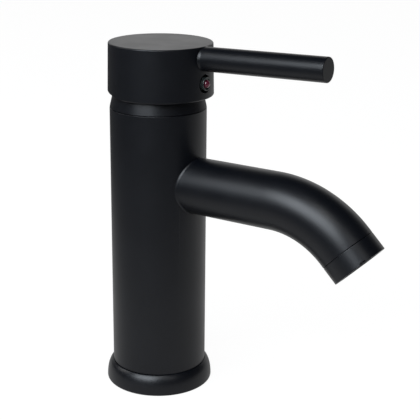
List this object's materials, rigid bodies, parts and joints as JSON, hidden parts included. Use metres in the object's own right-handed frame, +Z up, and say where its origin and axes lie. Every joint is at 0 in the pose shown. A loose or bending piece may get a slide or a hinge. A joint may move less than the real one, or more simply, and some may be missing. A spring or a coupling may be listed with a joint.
{
  "type": "bathroom mixer faucet",
  "caption": "Single-lever basin mixer in matt black: round column on a bell-shaped foot, bent tubular spout, drum cap with a straight rod lever.",
  "frame": {"origin": "centre of the foot, on the deck plane that the mixer stands on", "axes": "+Z up along the body; -Y to the front, where the spout and the lever point; +X to the cold side, on the right of someone facing the mixer"},
  "size_m": [0.0522, 0.1435, 0.1718],
  "materials": {
    "black_coat": "satin",
    "brass": "satin",
    "copper": "satin",
    "steel": "satin",
    "black_rubber": "matte",
    "black_plastic": "matte",
    "white_plastic": "satin",
    "grey_plastic": "gloss",
    "red_plastic": "gloss",
    "ceramic": "polished"
  },
  "bodies": {
    "mixer_body": {"body_column": "black_coat", "base_flange": "black_coat", "base_seal": "black_rubber", "inlet_block": "brass", "hot_feed_tube": "copper", "cold_feed_tube": "copper", "valve_block": "brass", "spout_tube": "black_coat", "aerator_ring": "black_coat", "aerator_grid": "black_plastic", "aerator_insert": "white_plastic", "aerator_washer": "black_rubber", "collar": "black_coat", "cartridge_nut": "brass", "cartridge_housing": "white_plastic", "cartridge_base": "white_plastic", "hot_seal": "black_rubber", "cold_seal": "black_rubber", "outlet_seal": "black_rubber", "fixed_disc": "ceramic"},
    "turret": {"cartridge_rotor": "white_plastic", "pivot_pin": "steel"},
    "disc_slider": {"moving_disc": "ceramic", "disc_carrier": "white_plastic"},
    "handle": {"spindle": "steel", "handle_cap": "black_coat", "lever_rod": "black_coat", "lever_stud": "steel", "set_screw": "steel", "index_plug": "grey_plastic", "index_dot": "red_plastic"}
  },
  "joints": [
    {"name": "handle_turn", "type": "hinge", "parent": "mixer_body", "child": "turret", "pos_m": [0, 0, 0.135], "axis": [0, 0, 1], "range_deg": [-50, 50]},
    {"name": "handle_lift", "type": "hinge", "parent": "turret", "child": "handle", "pos_m": [0, 0, 0.135], "axis": [-1, 0, 0], "range_deg": [0, 25]},
    {"name": "disc_slide", "type": "slide", "parent": "turret", "child": "disc_slider", "axis": [0, -1, 0], "range_m": [0, 0.00415]}
  ],
  "couplings": [
    {"joint": "disc_slide", "follows": "handle_lift", "m_per_rad": 0.009492}
  ]
}
